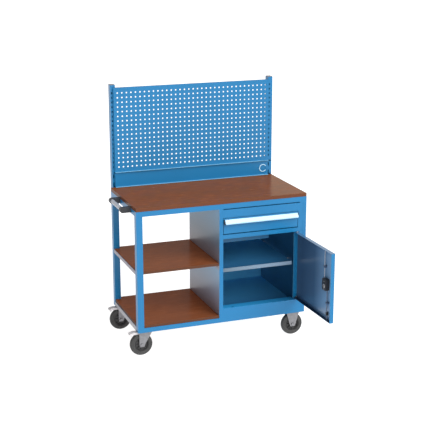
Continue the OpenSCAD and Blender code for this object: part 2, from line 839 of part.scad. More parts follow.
// Plastic arms that hold the tube's ends in blind sockets
module handle_brackets() {
    ring = 4.5;
    r = handle_r + ring;
    shank = 16;
    color(black) bench() for (y = bracket_ys()) {
        side = y > handle_y0 ? 1 : -1;
        difference() {
            along_y(y - bracket_w / 2, y + bracket_w / 2) union() {
                translate([-handle_reach, handle_z()]) circle(r, $fn = round_fn);
                translate([-handle_reach, handle_z() - r]) square([handle_reach, 2 * r]);
            }
            rod_y_dir(-handle_reach, handle_z(), min(y + side * bracket_w / 4, y - side * bracket_w),
                max(y + side * bracket_w / 4, y - side * bracket_w), handle_r + run_fit);
            translate([0, y, rail_low + top_rail_h / 2]) rod_x_dir(0, 0, -shank, over, bolt_r + run_fit);
        }
    }
}

// Top plate of a caster with its four bolt holes, its top face at z = 0
module caster_plate() {
    difference() {
        along_z(-plate_t, 0) rounded_plan([-plate_l / 2, -plate_w / 2], [plate_l / 2, plate_w / 2], 8);
        for (p = plate_bolts()) rod_z(p[0], p[1], -plate_t - over, over, bolt_r + bolt_fit);
    }
}

// Fixed half of a swivel head: plate, ball race and kingpin
module swivel_head() {
    tip = 7;
    caster_plate();
    rod_z(0, 0, -plate_t - race_h, -plate_t, race_r);
    rod_z(0, 0, -bridge_z - tip, -plate_t, kingpin_r);
}

module caster_plates_left() {
    color(zinc) bench() for (y = [front_y, rear_y]) {
        translate([left_x, y, plate_z]) swivel_head();
    }
}

// Outline of a fork leg in x and z, from its top edge down round the axle
module fork_outline(top_x0, top_x1, axle_x, top) {
    foot_r = 16;
    flare = 6;
    polygon([[top_x0, -top], [top_x1, -top], [top_x1, -top - flare],
        [axle_x + foot_r + flare, -drop + flare], [axle_x + foot_r - 2, -drop - foot_r + 2],
        [axle_x - foot_r + 2, -drop - foot_r + 2], [max(axle_x - foot_r - flare, top_x0), -drop + flare],
        [top_x0, -top - flare]]);
}

// Two fork legs with their bores for the axle bolt
module fork_legs(top_x0, top_x1, axle_x, top) {
    for (side = [-1, 1]) {
        y0 = side > 0 ? fork_in : -fork_out;
        along_y(y0, y0 + fork_t) difference() {
            fork_outline(top_x0, top_x1, axle_x, top);
            translate([axle_x, -drop]) circle(axle_r, $fn = round_fn);
        }
    }
}

// Swivelling fork: lower race, bridge, legs and the cross pin of the brake
module swivel_fork() {
    low_x = -trail - 17;
    difference() {
        union() {
            rod_z(0, 0, -bridge_z, -fork_top, race_r + 2);
            along_z(-bridge_z - fork_t, -bridge_z)
                translate([low_x, -fork_out]) square([race_r - 1 - low_x, 2 * fork_out]);
            fork_legs(low_x, race_r - 1, -trail, bridge_z + fork_t);
            rod_y_dir(brake_pin_x, brake_pin_z, -fork_in, fork_in, brake_pin_r);
        }
        rod_z(0, 0, -bridge_z - fork_t - over, -fork_top + over, kingpin_r + run_fit);
    }
}

// Fixed fork: plate and two symmetrical legs
module fixed_fork() {
    half = plate_l / 2 - 5;
    caster_plate();
    fork_legs(-half, half, 0, plate_t);
}

module caster_forks_right() {
    color(zinc) bench() for (y = [front_y, rear_y]) {
        translate([right_x, y, plate_z]) fixed_fork();
    }
}

module caster_bolts() {
    color(zinc) bench() for (x = [left_x, right_x]) {
        for (y = [front_y, rear_y]) {
            for (p = plate_bolts()) {
                translate([x + p[0], y + p[1], plate_z - plate_t]) rotate([180, 0, 0])
                    bolt(plate_t + foot_t);
            }
        }
    }
}

// Axle bolt with its head to the front and its nut to the rear
module axle_bolt() {
    head_h = 7;
    head_r = 10.5;
    rod_y_dir(0, 0, -fork_out, fork_out, axle_r);
    for (y = [fork_out + head_h, -fork_out]) {
        translate([0, y, 0]) rotate([90, 0, 0]) cylinder(h = head_h, r = head_r, $fn = 6);
    }
}

module axle_bolts_right() {
    color(zinc) bench() for (y = [front_y, rear_y]) translate([right_x, y, axle_z]) axle_bolt();
}

// Wheel body: rim, web and hub, turned about y
module wheel_core() {
    rim_w = tread_w - 4;
    web = 5;
    hub_r = 17;
    rotate([90, 0, 0]) rotate_extrude($fn = round_fn)
        polygon([[axle_r + run_fit, -hub_w / 2], [hub_r - 2, -hub_w / 2], [hub_r, -hub_w / 2 + 2],
            [hub_r + 2, -web], [rim_r - 8, -web], [rim_r - 5, -rim_w / 2], [rim_r, -rim_w / 2],
            [rim_r, rim_w / 2], [rim_r - 5, rim_w / 2], [rim_r - 8, web], [hub_r + 2, web],
            [hub_r, hub_w / 2 - 2], [hub_r - 2, hub_w / 2], [axle_r + run_fit, hub_w / 2]]);
}

// Solid rubber tyre with rounded shoulders, seated on the rim
module tyre_ring() {
    r = wheel_d / 2;
    w = tread_w / 2;
    shoulder = 7;
    rotate([90, 0, 0]) rotate_extrude($fn = round_fn) difference() {
        union() {
            translate([rim_r, -w]) square([r - rim_r - shoulder, 2 * w]);
            translate([rim_r, -w + shoulder]) square([r - rim_r, 2 * (w - shoulder)]);
            for (y = [-w + shoulder, w - shoulder]) {
                translate([r - shoulder, y]) circle(shoulder, $fn = round_fn);
            }
        }
        for (side = [-1, 1]) translate([rim_r + 4, side * w]) circle(0.8, $fn = round_fn);
    }
}

module left_wheel_place(y) translate([left_x - trail, y, axle_z]) children();

module right_wheel_place(y) translate([right_x, y, axle_z]) children();

module wheel_front_left() color(rubber) bench() left_wheel_place(front_y) wheel_core();

module wheel_rear_left() color(rubber) bench() left_wheel_place(rear_y) wheel_core();

module wheel_front_right() color(rubber) bench() right_wheel_place(front_y) wheel_core();

module wheel_rear_right() color(rubber) bench() right_wheel_place(rear_y) wheel_core();

module tyre_front_left() color(black) bench() left_wheel_place(front_y) tyre_ring();

module tyre_rear_left() color(black) bench() left_wheel_place(rear_y) tyre_ring();

module tyre_front_right() color(black) bench() right_wheel_place(front_y) tyre_ring();

module tyre_rear_right() color(black) bench() right_wheel_place(rear_y) tyre_ring();

module axle_bolt_front_left() color(zinc) bench() left_wheel_place(front_y) axle_bolt();

module axle_bolt_rear_left() color(zinc) bench() left_wheel_place(rear_y) axle_bolt();

module swivel_fork_front_left() {
    color(zinc) bench() translate([left_x, front_y, plate_z]) swivel_fork();
}

module swivel_fork_rear_left() {
    color(zinc) bench() translate([left_x, rear_y, plate_z]) swivel_fork();
}

// Brake: two cheeks on the fork's cross pin and a tread plate that reaches out over the tyre
module brake() {
    ear_t = 3;
    ear_y = fork_in - ear_t - 1;
    ear_r = brake_pin_r + 2.5;
    l = pedal_l;
    difference() {
        union() {
            for (side = [-1, 1]) {
                y0 = side > 0 ? ear_y : -ear_y - ear_t;
                along_y(y0, y0 + ear_t) translate([brake_pin_x, brake_pin_z]) union() {
                    circle(ear_r, $fn = round_fn);
                    polygon([[0, ear_r], [-l * 0.2, ear_r], [-l * 0.6, ear_r + 2], [-l * 0.92, 1],
                        [-l, -5], [-l * 0.93, -15], [-l * 0.8, -16], [-l * 0.7, -8], [0, -ear_r]]);
                }
            }
            along_y(-ear_y - ear_t, ear_y + ear_t) translate([brake_pin_x, brake_pin_z])
                polygon([[-l * 0.2, ear_r], [-l * 0.6, ear_r + 2], [-l * 0.92, 1], [-l, -5],
                    [-l + 2, -8], [-l * 0.9, -2.5], [-l * 0.59, ear_r - 1], [-l * 0.2, ear_r - 2]]);
        }
        rod_y_dir(brake_pin_x, brake_pin_z, -fork_in, fork_in, brake_pin_r + run_fit);
    }
}

module brake_front_left() color(zinc) bench() translate([left_x, front_y, plate_z]) brake();

module brake_rear_left() color(zinc) bench() translate([left_x, rear_y, plate_z]) brake();

// One channel of a runner, drawn in x and z with its web at x = 0 and its lips towards +x
module runner_channel(w, h, t) {
    folded([[w - t / 2, t / 2], [t / 2, t / 2], [t / 2, h - t / 2], [w - t / 2, h - t / 2]], t);
}

// Places a section, drawn for the left runner, at both sides of the drawer
module both_runners() {
    along_y(runner_y0, runner_y1) translate([open_x0, runner_z]) children();
    along_y(runner_y0, runner_y1) translate([draw_x1, runner_z]) mirror([1, 0]) children();
}

module runner_outers() {
    color(zinc) bench() both_runners() runner_channel(runner_w - 2, runner_h, runner_sheet);
}

module runner_middles() {
    t = runner_sheet;
    air = 0.5;
    color(zinc) bench() both_runners() translate([t + air, t + air])
        runner_channel(runner_w - 2 - t, runner_h - 2 * (t + air), t);
}

module runner_inners() {
    t = runner_sheet;
    air = 0.5;
    step = 2 * (t + air);
    color(zinc) bench() both_runners() translate([runner_w, step]) mirror([1, 0])
        runner_channel(runner_w - step, runner_h - 2 * step, t);
}

// Open sheet tray
module drawer_tray() {
    s = tray_sheet;
    x0 = open_x0 + runner_w;
    x1 = draw_x1 - runner_w;
    z0 = drawer_z0 + tray_air;
    y0 = drawer_front_t;
    color(pale_grey) bench() difference() {
        box([x0, y0, z0], [x1, y0 + tray_l, z0 + tray_h]);
        box([x0 + s, y0 + s, z0 + s], [x1 - s, y0 + tray_l - s, z0 + tray_h + over]);
    }
}

// Hollow drawer front, flush with the cabinet's front and open at its lower edge
module drawer_front() {
    s = tray_sheet;
    color(paint) bench() difference() {
        box([front_x0, 0, drawer_z0], [drawer_end, drawer_front_t, drawer_z1]);
        box([front_x0 + s, s, drawer_z0 - over], [drawer_end - s, drawer_front_t - s, drawer_z1 - s]);
    }
}

// Section of the grip strip in y and z: back plate, top and slanting front, open below
module grip_section() {
    t = grip_wall;
    top = drawer_z1 - grip_drop;
    low = top - grip_h;
    difference() {
        polygon([[0, low], [0, top], [-6, top], [-grip_out, low + 6], [-grip_out, low]]);
        polygon([[-t, low - over], [-t, top - t], [-6, top - t], [-grip_out + t, low + 6],
            [-grip_out + t, low + t], [-grip_out + 3 * t, low + t], [-grip_out + 3 * t, low - over]]);
    }
}

module drawer_grip() {
    color(alu) bench() along_x(front_x0 + grip_cap_t, drawer_end - grip_cap_t) grip_section();
}

module drawer_grip_caps() {
    top = drawer_z1 - grip_drop;
    low = top - grip_h;
    color(black) bench() for (x = [front_x0, drawer_end - grip_cap_t]) {
        along_x(x, x + grip_cap_t)
            polygon([[0, low], [0, top], [-6, top], [-grip_out, low + 6], [-grip_out, low]]);
    }
}

// Turns the door and all it carries from shut to its photographed angle
module on_door() {
    bench() translate([hinge_x, hinge_y, 0]) rotate([0, 0, door_open])
        translate([-hinge_x, -hinge_y, 0]) children();
}

// Folded door pan, open to the inside
module door_panel() {
    s = door_sheet;
    color(paint) on_door() difference() {
        box([front_x0, 0, door_z0], [front_x1, door_t, door_z1]);
        box([front_x0 + s, s, door_z0 + s], [front_x1 - s, door_t + over, door_z1 - s]);
        rod_z(hinge_x, hinge_y, door_z0 - over, door_z1 + over, pin_r + run_fit);
        rod_z(lock_x - rod_off, rod_y, door_z0 - over, door_z0 + s + over, rod_r + 0.5);
        rod_z(lock_x + rod_off, rod_y, door_z1 - s - over, door_z1 + over, rod_r + 0.5);
        rod_y_dir(lock_x, lock_z, -over, s + over, spindle_r + run_fit);
    }
}

// Bushes inside the door's top and bottom folds
module hinge_bushes() {
    bush_h = 6;
    s = door_sheet;
    color(black) on_door() for (z = [door_z0 + s, door_z1 - s - bush_h]) {
        difference() {
            rod_z(hinge_x, hinge_y, z, z + bush_h, min(bush_r, hinge_in - s));
            rod_z(hinge_x, hinge_y, z - over, z + bush_h + over, pin_r + run_fit);
        }
    }
}

// Cover over the lock's cam, open towards the door's skin, with slots for the rods
module lock_case() {
    w = case_wall;
    air = 1;
    color(black) on_door() difference() {
        along_y(door_sheet, case_d) rounded_plan([lock_x - case_w / 2, lock_z - case_h / 2],
            [lock_x + case_w / 2, lock_z + case_h / 2], case_corner);
        along_y(door_sheet - over, case_d - w)
            rounded_plan([lock_x - case_w / 2 + w, lock_z - case_h / 2 + w],
                [lock_x + case_w / 2 - w, lock_z + case_h / 2 - w], case_corner - w);
        box([lock_x + rod_off - rod_r - air, door_sheet - over, lock_z],
            [lock_x + rod_off + rod_r + air, rod_y + rod_r + air, lock_z + case_h]);
        box([lock_x - rod_off - rod_r - air, door_sheet - over, lock_z - case_h],
            [lock_x - rod_off + rod_r + air, rod_y + rod_r + air, lock_z]);
    }
}

// Blocks on the door's skin that the rods slide through
module rod_guides() {
    places = [[lock_x + rod_off, door_z1 - guide_gap], [lock_x - rod_off, door_z0 + guide_gap]];
    color(black) on_door() for (p = places) {
        difference() {
            box([p[0] - guide_w / 2, door_sheet, p[1] - guide_h / 2],
                [p[0] + guide_w / 2, rod_y + rod_r + 3, p[1] + guide_h / 2]);
            rod_z(p[0], rod_y, p[1] - guide_h, p[1] + guide_h, rod_r + rod_fit);
        }
    }
}

// Turning handle outside the door, with its spindle through the skin
module lock_knob() {
    color(black) on_door() union() {
        rod_y_dir(lock_x, lock_z, -knob_out, -0.5, knob_r);
        rod_y_dir(lock_x, lock_z, -0.5, cam_y, spindle_r);
        along_y(-grip_y, -knob_out) translate([lock_x, lock_z])
            rounded_plan([-grip_thick / 2, -grip_len / 2], [grip_thick / 2, grip_len / 2], 6);
    }
}

// Cam disc with two pins, one for each rod
module lock_cam() {
    color(zinc) on_door() union() {
        rod_y_dir(lock_x, lock_z, cam_y, cam_y + cam_t, cam_r + cam_pin_r + 1);
        for (side = [-1, 1]) {
            x = lock_x + side * cam_r * cos(45);
            z = lock_z - side * cam_r * sin(45);
            rod_y_dir(x, z, cam_y + cam_t, rod_y + tab_t / 2 + 2, cam_pin_r);
        }
    }
}

// Rod with a slotted tab at the cam; side is 1 for the upper rod and -1 for the lower one
module lock_rod(side) {
    x = lock_x + side * rod_off;
    pin_z = lock_z - side * cam_r * sin(45);
    tip = side > 0 ? door_z1 - 0.5 : door_z0 + 0.5;
    near = cam_r * cos(45) - cam_slot_half;
    far = cam_r + cam_slot_half;
    tab_half = 8;
    difference() {
        union() {
            rod_z(x, rod_y, min(pin_z - side * tab_half, tip), max(pin_z - side * tab_half, tip), rod_r);
            box([min(x, lock_x + side * (near - 3)), rod_y - tab_t / 2, pin_z - tab_half],
                [max(x, lock_x + side * (near - 3)), rod_y + tab_t / 2, pin_z + tab_half]);
        }
        box([min(lock_x + side * near, lock_x + side * far), rod_y - rod_r - over, pin_z - cam_slot_half],
            [max(lock_x + side * near, lock_x + side * far), rod_y + rod_r + over, pin_z + cam_slot_half]);
    }
}

module lock_rod_upper() color(zinc) on_door() lock_rod(1);

module lock_rod_lower() color(zinc) on_door() lock_rod(-1);

worktop_board();
top_frame();
left_legs();
base_rails();
mid_shelf_rails();
mid_shelf_board();
lower_shelf_board();
cabinet_base();
cabinet_side_left();
cabinet_side_right();
cabinet_back();
cabinet_front_rails();
cabinet_liner();
cabinet_floor();
inner_shelf();
shelf_trim();
shelf_pegs();
runner_outers();
hinge_pins();
rod_keepers();
uprights();
upright_caps();
frame_bolts();
perforated_panel();
blank_panel();
cable_hole_cap();
handle_tube();
handle_brackets();
caster_plates_left();
caster_forks_right();
caster_bolts();
axle_bolts_right();
drawer_tray();
drawer_front();
drawer_grip();
drawer_grip_caps();
runner_inners();
runner_middles();
door_panel();
hinge_bushes();
lock_case();
rod_guides();
lock_knob();
lock_cam();
lock_rod_upper();
lock_rod_lower();
swivel_fork_front_left();
axle_bolt_front_left();
brake_front_left();
swivel_fork_rear_left();
axle_bolt_rear_left();
brake_rear_left();
wheel_front_left();
wheel_rear_left();
wheel_front_right();
wheel_rear_right();
tyre_front_left();
tyre_rear_left();
tyre_front_right();
tyre_rear_right();
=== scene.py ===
import json
from math import cos, pi, radians, sin

import bmesh
import bpy
from mathutils import Matrix, Vector

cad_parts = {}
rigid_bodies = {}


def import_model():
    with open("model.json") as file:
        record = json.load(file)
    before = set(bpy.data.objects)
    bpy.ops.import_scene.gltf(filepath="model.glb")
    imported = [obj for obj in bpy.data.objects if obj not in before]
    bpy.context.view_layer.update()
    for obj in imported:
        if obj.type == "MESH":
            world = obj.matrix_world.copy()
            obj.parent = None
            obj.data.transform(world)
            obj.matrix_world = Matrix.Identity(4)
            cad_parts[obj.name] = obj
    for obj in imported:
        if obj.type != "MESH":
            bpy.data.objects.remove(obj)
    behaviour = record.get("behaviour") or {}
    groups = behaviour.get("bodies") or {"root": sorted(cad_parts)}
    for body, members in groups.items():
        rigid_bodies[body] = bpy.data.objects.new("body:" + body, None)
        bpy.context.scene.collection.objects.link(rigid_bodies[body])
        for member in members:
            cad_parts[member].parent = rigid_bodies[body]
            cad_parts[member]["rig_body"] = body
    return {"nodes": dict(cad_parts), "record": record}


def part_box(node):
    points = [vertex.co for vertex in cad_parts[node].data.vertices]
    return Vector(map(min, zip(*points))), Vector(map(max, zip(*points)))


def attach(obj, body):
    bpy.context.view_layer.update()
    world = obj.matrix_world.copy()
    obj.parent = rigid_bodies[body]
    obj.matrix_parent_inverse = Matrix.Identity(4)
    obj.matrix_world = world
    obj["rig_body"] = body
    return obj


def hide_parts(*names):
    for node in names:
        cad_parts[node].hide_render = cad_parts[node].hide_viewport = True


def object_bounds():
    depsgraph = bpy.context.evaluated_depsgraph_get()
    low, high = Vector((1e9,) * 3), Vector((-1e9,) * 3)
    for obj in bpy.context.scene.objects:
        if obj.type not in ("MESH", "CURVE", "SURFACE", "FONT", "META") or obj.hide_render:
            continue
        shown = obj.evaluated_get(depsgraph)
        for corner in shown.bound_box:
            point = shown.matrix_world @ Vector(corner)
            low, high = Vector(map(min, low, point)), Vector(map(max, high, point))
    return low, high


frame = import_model()
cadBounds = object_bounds()
cadNodes = frame["nodes"]
print("frame loaded,", len(cadNodes), "solids")

# Camera, at the photograph's place
cameraView = {
    "eye": (-2.330, -6.363, 1.688),  # metres from the middle of the worktop
    "turn": 20.5,  # degrees to the right
    "tilt": 15.29,  # degrees down
    "lens": 91.1,  # mm
    "sensor": 36,  # mm wide
    "reach": 60,  # metres that it sees to
}


def placeCamera(view):
    camera = bpy.data.cameras.new("camera")
    camera.lens = view["lens"]
    camera.sensor_width = view["sensor"]
    camera.clip_end = view["reach"]
    eye = bpy.data.objects.new("camera", camera)
    eye.location = view["eye"]
    eye.rotation_euler = (radians(90 - view["tilt"]), 0, radians(-view["turn"]))
    bpy.context.scene.collection.objects.link(eye)
    bpy.context.scene.camera = eye


placeCamera(cameraView)


# Node trees: a small kit for the studio and the finishes
def startMaterial(name):
    material = bpy.data.materials.new(name)
    material.use_nodes = True
    tree = material.node_tree
    return material, tree, tree.nodes["Principled BSDF"]


def addNode(tree, kind, settings=None, **sockets):
    node = tree.nodes.new("ShaderNode" + kind)
    for key, value in (settings or {}).items():
        setattr(node, key, value)
    for key, value in sockets.items():
        socket = node.inputs[key]
        if isinstance(value, bpy.types.NodeSocket):
            tree.links.new(value, socket)
        else:
            socket.default_value = value
    return node


def stretchedPlace(tree, stretch):
    # Object coordinates, in metres, stretched along the axes
    place = addNode(tree, "TexCoord").outputs["Object"]
    return addNode(tree, "Mapping", Vector=place, Scale=stretch).outputs["Vector"]


def mixColours(tree, factor, low, high, blend="MIX"):
    mix = addNode(tree, "Mix", {"data_type": "RGBA", "blend_type": blend})
    for index, value in ((0, factor), (6, low), (7, high)):  # the colour sockets share their names
        if isinstance(value, bpy.types.NodeSocket):
            tree.links.new(value, mix.inputs[index])
        else:
            mix.inputs[index].default_value = value
    return mix.outputs[2]


def spread(tree, value, low, high, fromLow=0.3, fromHigh=0.7):
    ranged = addNode(tree, "MapRange", Value=value)
    limits = {"From Min": fromLow, "From Max": fromHigh, "To Min": low, "To Max": high}
    for key, number in limits.items():
        ranged.inputs[key].default_value = number
    return ranged.outputs["Result"]


def noise(tree, place, scale, detail, roughness=0.5):
    settings = {"Scale": scale, "Detail": detail, "Roughness": roughness}
    return addNode(tree, "TexNoise", Vector=place, **settings).outputs["Fac"]


def addBump(tree, shader, height, distance):
    bump = addNode(tree, "Bump", Height=height, Distance=distance, Strength=1.0)
    tree.links.new(bump.outputs["Normal"], shader.inputs["Normal"])


# Studio: white room, pale glowing floor, two wide soft suns from the front
studio = {
    "worldLight": 0.3,
    "backGlow": 0.7,  # added low behind the bench, where its boards mirror the room
    "glowBehind": (0.5, 0.8),  # from none to full, as the way turns to the rear
    "glowHeight": (0.6, 0.4),  # from none to full, as it comes down
    "floorColour": (0.30, 0.30, 0.30, 1),
    "floorRoughness": 0.9,
    "floorGlow": 0.95,
    "floorHalf": 40,
    "floorDrop": 0.0005,  # keeps the floor clear of the tyres
    # each sun: power, then width, height and turn to the right in degrees
    "keySun": (3.2, 50, 45, 24),
    "lowSun": (1.2, 60, 10, -12),
}


def buildStudio(look):
    scene = bpy.context.scene
    scene.view_settings.view_transform = "Standard"
    world = bpy.data.worlds.new("whiteRoom")
    world.use_nodes = True
    scene.world = world
    tree = world.node_tree
    sky = tree.nodes["Background"]
    sky.inputs["Color"].default_value = (1, 1, 1, 1)
    way = addNode(tree, "SeparateXYZ", Vector=addNode(tree, "TexCoord").outputs["Generated"])
    behind = spread(tree, way.outputs["Y"], 0, look["backGlow"], *look["glowBehind"])
    low = spread(tree, way.outputs["Z"], 0, 1, *look["glowHeight"])
    glow = addNode(tree, "Math", {"operation": "MULTIPLY_ADD"})
    tree.links.new(behind, glow.inputs[0])
    tree.links.new(low, glow.inputs[1])
    glow.inputs[2].default_value = look["worldLight"]
    tree.links.new(glow.outputs[0], sky.inputs["Strength"])
    for name in ("keySun", "lowSun"):
        power, width, height, turn = look[name]
        sun = bpy.data.lights.new(name, "SUN")
        sun.energy = power
        sun.angle = radians(width)
        lamp = bpy.data.objects.new(name, sun)
        lamp.rotation_euler = (radians(90 - height), 0, radians(turn))
        scene.collection.objects.link(lamp)
    half = look["floorHalf"]
    floorMesh = bpy.data.meshes.new("floor")
    corners = [(-half, -half, 0), (half, -half, 0), (half, half, 0), (-half, half, 0)]
    floorMesh.from_pydata(corners, [], [(0, 1, 2, 3)])
    floor = bpy.data.objects.new("floor", floorMesh)
    floor.location.z = cadBounds[0].z - look["floorDrop"]
    paint, tree, shader = startMaterial("floorPaint")
    shader.inputs["Base Color"].default_value = look["floorColour"]
    shader.inputs["Roughness"].default_value = look["floorRoughness"]
    shader.inputs["Emission Color"].default_value = (1, 1, 1, 1)
    shader.inputs["Emission Strength"].default_value = look["floorGlow"]
    floorMesh.materials.append(paint)
    scene.collection.objects.link(floor)


buildStudio(studio)
print("studio ready")


# Finishes
def objectAxis(tree, output, axis):
    # One axis of the piece's own place or normal
    source = addNode(tree, "TexCoord").outputs[output]
    return addNode(tree, "SeparateXYZ", Vector=source).outputs[axis]


def bandColours(tree, value, stops):
    # Each stop is a place along the value and the colour there
    low, high = stops[0][0], stops[-1][0]
    bands = addNode(tree, "ValToRGB", Fac=spread(tree, value, 0, 1, low, high))
    elements = bands.color_ramp.elements
    while len(elements) < len(stops):
        elements.new(0.5)
    for element, (place, colour) in zip(elements, stops):
        element.position = (place - low) / (high - low)
        element.color = colour + (1,)
    return bands.outputs["Color"]


coatLook = {
    "driftNoise": (3.0, 3.0),  # scale and detail
    "drift": 0.04,  # share by which the tone drifts each way
    "peelNoise": (420.0, 2.0),
    "glossDrift": (-0.03, 0.05),
    "refraction": 1.47,
    "facing": (0.6, 0.8),  # how squarely a face looks along an axis to take its shade
    "unevenness": 0.25,  # share of the dimmer tone in a shaded face
    "dimmer": (0.9, 0.9, 0.9, 1),
}


def paintedSteel(name, colour, roughness=0.34, peel=0.00003, shades=()):
    # Powder coat: faint orange peel, a little drift in tone and gloss, and bands of painted light
    # and shade on the faces each shade names
    material, tree, shader = startMaterial(name)
    place = stretchedPlace(tree, (1, 1, 1))
    drift = noise(tree, place, *coatLook["driftNoise"])
    grain = noise(tree, place, *coatLook["peelNoise"])
    light = tuple(min(1, c * (1 + coatLook["drift"])) for c in colour[:3]) + (1,)
    dark = tuple(c * (1 - coatLook["drift"]) for c in colour[:3]) + (1,)
    tone = mixColours(tree, spread(tree, drift, 0, 1), dark, light)
    for shade in shades:
        tone = shadedTone(tree, tone, drift, shade)
    tree.links.new(tone, shader.inputs["Base Color"])
    smooth, rough = (roughness + step for step in coatLook["glossDrift"])
    tree.links.new(spread(tree, grain, smooth, rough), shader.inputs["Roughness"])
    shader.inputs["IOR"].default_value = coatLook["refraction"]
    addBump(tree, shader, grain, peel)
    return material


def shadedTone(tree, tone, drift, shade):
    # A face that looks one way takes painted light and shade, in bands along an axis
    facing = objectAxis(tree, "Normal", shade["faces"])
    along = objectAxis(tree, "Object", shade["along"])
    bands = bandColours(tree, along, shade["stops"])
    patches = spread(tree, drift, 0, coatLook["unevenness"])
    uneven = mixColours(tree, patches, bands, coatLook["dimmer"], "MULTIPLY")
    share = spread(tree, facing, 0, 1, *(shade["sign"] * edge for edge in coatLook["facing"]))
    if "within" in shade:
        axis, first, last = shade["within"]
        inside = spread(tree, objectAxis(tree, "Object", axis), 0, 1, first, last)
        both = addNode(tree, "Math", {"operation": "MULTIPLY"})
        tree.links.new(share, both.inputs[0])
        tree.links.new(inside, both.inputs[1])
        share = both.outputs[0]
    return mixColours(tree, share, tone, uneven)


def laminatedBoard(name, look):
    # Reddish film-faced board: fine streaks along x, cloudy patches, bare duller edge, and painted
    # shade fading along an axis
    material, tree, shader = startMaterial(name)
    streaks = noise(tree, stretchedPlace(tree, look["streakStretch"]), *look["streakNoise"])
    clouds = noise(tree, stretchedPlace(tree, look["cloudStretch"]), *look["cloudNoise"])
    ramp = addNode(tree, "ValToRGB", Fac=spread(tree, streaks, 0, 1, *look["streakRange"]))
    ramp.color_ramp.elements[0].color = look["dark"]
    ramp.color_ramp.elements[1].color = look["light"]
    middle = ramp.color_ramp.elements.new(0.5)
    middle.color = look["middle"]
    patches = spread(tree, clouds, 0, look["cloudShare"])
    face = mixColours(tree, patches, ramp.outputs["Color"], look["cloud"])
    # painted shade: the face's tone multiplied down in bands along an axis
    for axis, tones in look["shadeFades"]:
        stops = [(place, (tone,) * 3) for place, tone in tones]
        band = bandColours(tree, objectAxis(tree, "Object", axis), stops)
        face = mixColours(tree, 1, face, band, "MULTIPLY")
    facing = addNode(tree, "SeparateXYZ", Vector=addNode(tree, "NewGeometry").outputs["Normal"])
    flat = addNode(tree, "Math", {"operation": "ABSOLUTE"})
    tree.links.new(facing.outputs["Z"], flat.inputs[0])
    edgeShare = spread(tree, flat.outputs[0], 1, 0)
    tone = mixColours(tree, edgeShare, face, look["edge"])
    tree.links.new(tone, shader.inputs["Base Color"])
    tree.links.new(spread(tree, streaks, *look["roughness"]), shader.inputs["Roughness"])
    shader.inputs["IOR"].default_value = look["refraction"]
    addBump(tree, shader, streaks, look["relief"])
    return material


zincLook = {
    "spangleScale": 140.0,
    "spangleRange": (0, 0.8),
    "scuffNoise": (60.0, 5.0),  # scale and detail
    "scuffTone": 0.8,  # share of the bright tone
    "metal": 0.75,
    "glossDrift": (-0.08, 0.1),
    "relief": 0.00006,
}


def zincPlate(name, colour=(0.52, 0.53, 0.55, 1), roughness=0.42):
    # Bright zinc with soft spangle and scuffs
    material, tree, shader = startMaterial(name)
    place = stretchedPlace(tree, (1, 1, 1))
    scale = zincLook["spangleScale"]
    spangle = addNode(tree, "TexVoronoi", {"feature": "SMOOTH_F1"}, Vector=place, Scale=scale)
    scuffs = noise(tree, place, *zincLook["scuffNoise"])
    dull = tuple(c * zincLook["scuffTone"] for c in colour[:3]) + (1,)
    tone = mixColours(tree, spread(tree, scuffs, 0, 1), dull, colour)
    tree.links.new(tone, shader.inputs["Base Color"])
    shader.inputs["Metallic"].default_value = zincLook["metal"]
    smooth, rough = (roughness + step for step in zincLook["glossDrift"])
    patches = spread(tree, spangle.outputs["Distance"], smooth, rough, *zincLook["spangleRange"])
    tree.links.new(patches, shader.inputs["Roughness"])
    addBump(tree, shader, scuffs, zincLook["relief"])
    return material


plasticLook = {
    "skinNoise": (900.0, 2.0),  # scale and detail
    "patchNoise": (25.0, 3.0),
    "paler": 1.25,  # pale patches: the tone times this
    "lift": 0.004,  # and plus this
    "glossDrift": (-0.06, 0.08),
}


def mouldedPlastic(name, colour, roughness=0.45, pebble=0.0001):
    # Fine moulded skin with faint paler patches
    material, tree, shader = startMaterial(name)
    place = stretchedPlace(tree, (1, 1, 1))
    skin = noise(tree, place, *plasticLook["skinNoise"])
    patches = noise(tree, place, *plasticLook["patchNoise"])
    paler, lift = plasticLook["paler"], plasticLook["lift"]
    pale = tuple(min(1, c * paler + lift) for c in colour[:3]) + (1,)
    tone = mixColours(tree, spread(tree, patches, 0, 1), colour, pale)
    tree.links.new(tone, shader.inputs["Base Color"])
    smooth, rough = (roughness + step for step in plasticLook["glossDrift"])
    tree.links.new(spread(tree, skin, smooth, rough), shader.inputs["Roughness"])
    addBump(tree, shader, skin, pebble)
    return material


gripLook = {
    "brushStretch": (6, 900, 900),
    "brushNoise": (1.0, 4.0),  # scale and detail
    "dull": (0.30, 0.50, 0.66, 1),
    "bright": (0.38, 0.58, 0.74, 1),
    "metal": 0.35,
    "roughness": (0.3, 0.44),
    "relief": 0.00002,
}


def brushedAluminium(name, look):
    # Anodised strip, brushed along its length
    material, tree, shader = startMaterial(name)
    brush = noise(tree, stretchedPlace(tree, look["brushStretch"]), *look["brushNoise"])
    tone = mixColours(tree, spread(tree, brush, 0, 1), look["dull"], look["bright"])
    tree.links.new(tone, shader.inputs["Base Color"])
    shader.inputs["Metallic"].default_value = look["metal"]
    tree.links.new(spread(tree, brush, *look["roughness"]), shader.inputs["Roughness"])
    addBump(tree, shader, brush, look["relief"])
    return material


